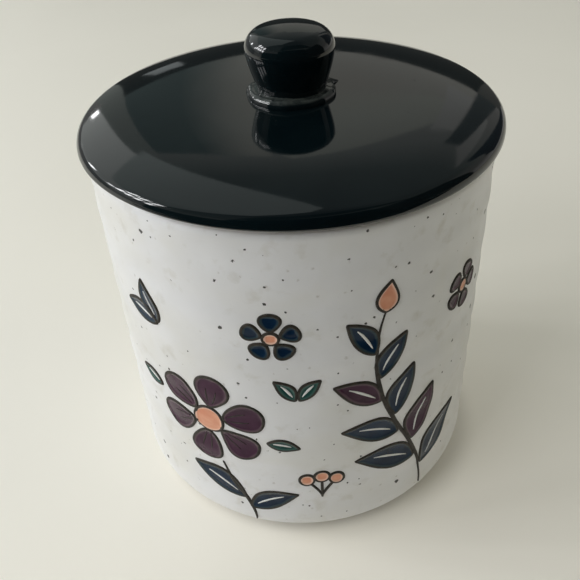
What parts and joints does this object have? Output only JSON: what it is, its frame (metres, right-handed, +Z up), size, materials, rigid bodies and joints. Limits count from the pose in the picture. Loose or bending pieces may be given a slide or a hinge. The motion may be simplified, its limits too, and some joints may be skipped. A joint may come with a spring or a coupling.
{
  "type": "ceramic canister",
  "caption": "Round stoneware kitchen canister with a straight thrown wall, an overhanging lift-off lid that is flat in the middle and falls to a rolled edge, a pinch knob, and a soft seal ring on the lid's flange.",
  "frame": {"origin": "middle of the foot ring, on the surface that the canister stands on", "axes": "+Z up along the axis that the jar, lid and knob are thrown about; +Y away from the viewer of the picture"},
  "size_m": [0.14, 0.14, 0.1724],
  "materials": {
    "white_glaze": "satin white glaze with dark iron speckles",
    "black_glaze": "gloss black glaze",
    "silicone": "soft translucent grey silicone"
  },
  "bodies": {
    "jar": {"jar_body": "white_glaze"},
    "lid": {"lid": "black_glaze", "lid_knob": "black_glaze", "knob_bead": "black_glaze", "seal_ring": "silicone"}
  },
  "joints": [
    {"name": "lid_lift", "type": "slide", "parent": "jar", "child": "lid", "axis": [0, 0, 1], "range_m": [0, 0.08]}
  ]
}
